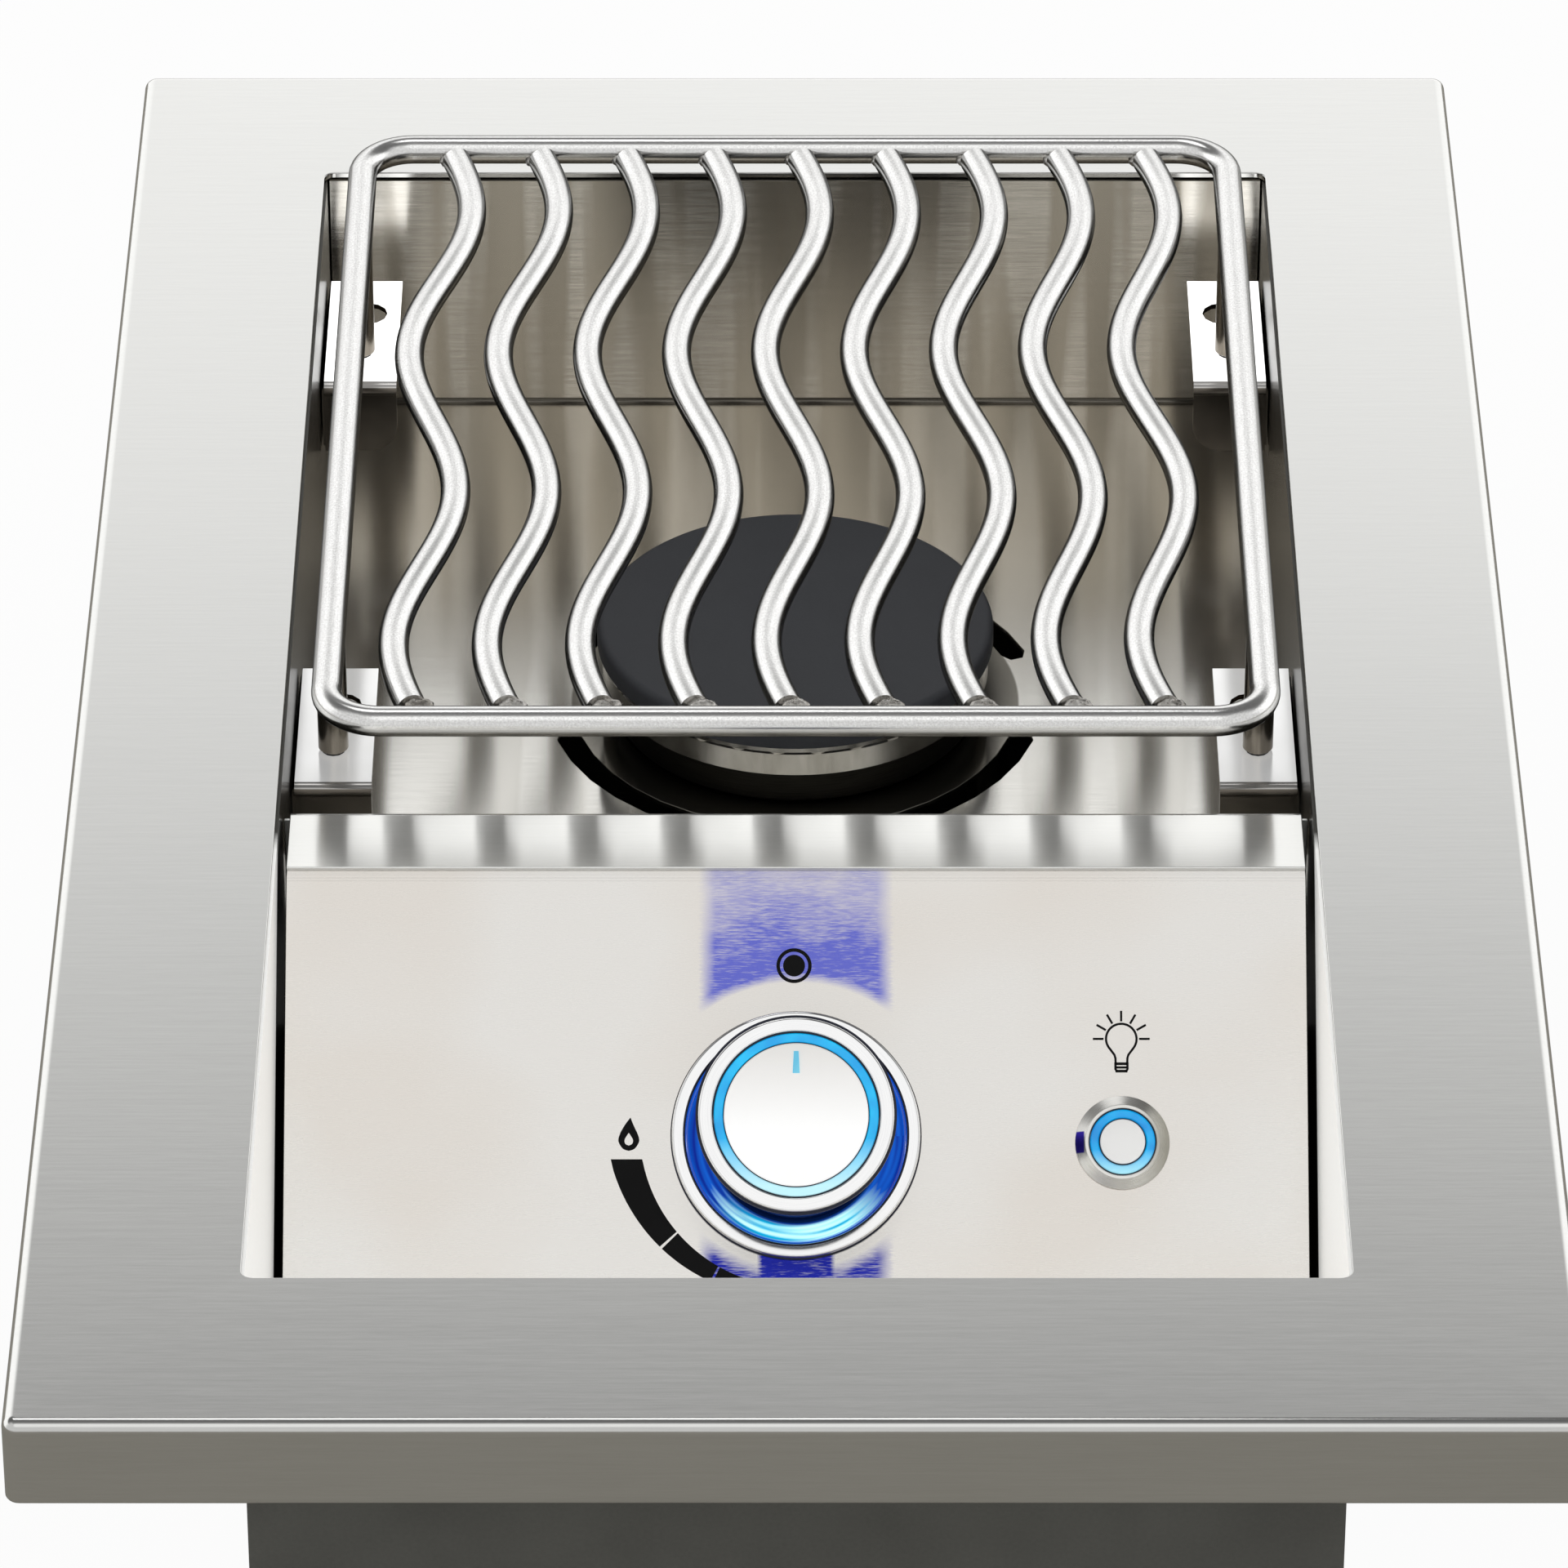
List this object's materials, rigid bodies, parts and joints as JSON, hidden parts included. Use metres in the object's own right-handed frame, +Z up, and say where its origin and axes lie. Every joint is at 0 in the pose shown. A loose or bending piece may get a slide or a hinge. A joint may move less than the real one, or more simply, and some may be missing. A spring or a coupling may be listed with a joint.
{
  "type": "built in side burner",
  "caption": "Drop-in outdoor gas side burner: a folded steel trim over a sheet case, with a wavy-rod grid above a round burner and a lit knob and lamp button on a sloped panel.",
  "frame": {"origin": "on the underside of the case, below the middle of the trim frame's length and width", "axes": "+X to the right as a user faces the controls, +Y to the back, +Z up; the control panel faces -Y"},
  "size_m": [0.3734, 0.627, 0.248],
  "materials": {
    "brushed_steel": "stainless sheet brushed from side to side",
    "bright_steel": "fine-brushed bright stainless sheet",
    "case_steel": "plain sheet with a dark grey coat",
    "grid_steel": "round stainless rod, lightly blasted",
    "chrome": "bright plating on a smooth casting",
    "cap_enamel": "matte black enamel on a forged disc",
    "burner_steel": "turned stainless darkened by heat",
    "brass": "machined brass",
    "cast_aluminium": "plain cast aluminium",
    "ceramic": "glazed white ceramic",
    "black_plastic": "moulded, fine satin texture",
    "black_rubber": "plain black",
    "blue_lens": "lit blue, frosted",
    "white_lens": "cool white, satin"
  },
  "bodies": {
    "cabinet": {"trim_frame": "brushed_steel", "case_left_wall": "case_steel", "case_right_wall": "case_steel", "case_front_wall": "case_steel", "case_rear_wall": "case_steel", "case_floor": "case_steel", "bowl_pan": "bright_steel", "bowl_front_wall": "bright_steel", "grid_bracket_front_left": "bright_steel", "grid_bracket_front_right": "bright_steel", "grid_bracket_rear_left": "bright_steel", "grid_bracket_rear_right": "bright_steel", "burner_pot": "burner_steel", "burner_port_ring": "burner_steel", "burner_lock_ring": "cast_aluminium", "mixer_tube": "cast_aluminium", "air_shutter": "bright_steel", "gas_jet": "brass", "supply_tube": "cast_aluminium", "gas_inlet_pipe": "bright_steel", "gas_inlet_fitting": "brass", "gas_inlet_grommet": "black_rubber", "electrode_ceramic": "ceramic", "electrode_wire": "bright_steel", "spark_lead": "black_rubber", "spark_module": "black_plastic", "lamp_driver": "black_plastic", "power_socket": "black_plastic", "well_floor": "bright_steel", "control_panel": "brushed_steel", "knob_bezel": "chrome", "bezel_light_ring": "blue_lens", "gas_valve_body": "brass", "valve_bonnet": "cast_aluminium", "button_housing": "bright_steel", "button_light_ring": "blue_lens", "button_nut": "bright_steel"},
    "cooking_grid": {"grid_frame": "grid_steel", "grid_rod_1": "grid_steel", "grid_rod_2": "grid_steel", "grid_rod_3": "grid_steel", "grid_rod_4": "grid_steel", "grid_rod_5": "grid_steel", "grid_rod_6": "grid_steel", "grid_rod_7": "grid_steel", "grid_rod_8": "grid_steel", "grid_rod_9": "grid_steel", "grid_foot_front_left": "grid_steel", "grid_foot_front_right": "grid_steel", "grid_foot_rear_left": "grid_steel", "grid_foot_rear_right": "grid_steel"},
    "burner_cap": {"burner_cap": "cap_enamel"},
    "valve_plug": {"valve_plug": "brass"},
    "knob": {"knob_body": "chrome", "knob_light_ring": "blue_lens", "knob_face_cap": "white_lens", "valve_stem": "brass"},
    "lamp_button": {"button_cap": "white_lens"}
  },
  "joints": [
    {"name": "grid_lift", "type": "slide", "parent": "cabinet", "child": "cooking_grid", "axis": [0, 0, 1], "range_m": [0, 0.12]},
    {"name": "cap_lift", "type": "slide", "parent": "cabinet", "child": "burner_cap", "axis": [0, 0, 1], "range_m": [0, 0.04]},
    {"name": "knob_turn", "type": "hinge", "parent": "cabinet", "child": "valve_plug", "pos_m": [0, -0.10641, 0.16241], "axis": [0, -0.7071, 0.7071], "range_deg": [0, 180]},
    {"name": "knob_push", "type": "slide", "parent": "valve_plug", "child": "knob", "axis": [0, 0.7071, -0.7071], "range_m": [0, 0.003], "stiffness_N_per_m": 2000, "springref_m": -0.002},
    {"name": "button_push", "type": "slide", "parent": "cabinet", "child": "lamp_button", "axis": [0, 0.7071, -0.7071], "range_m": [0, 0.0015], "stiffness_N_per_m": 600, "springref_m": -0.001}
  ]
}
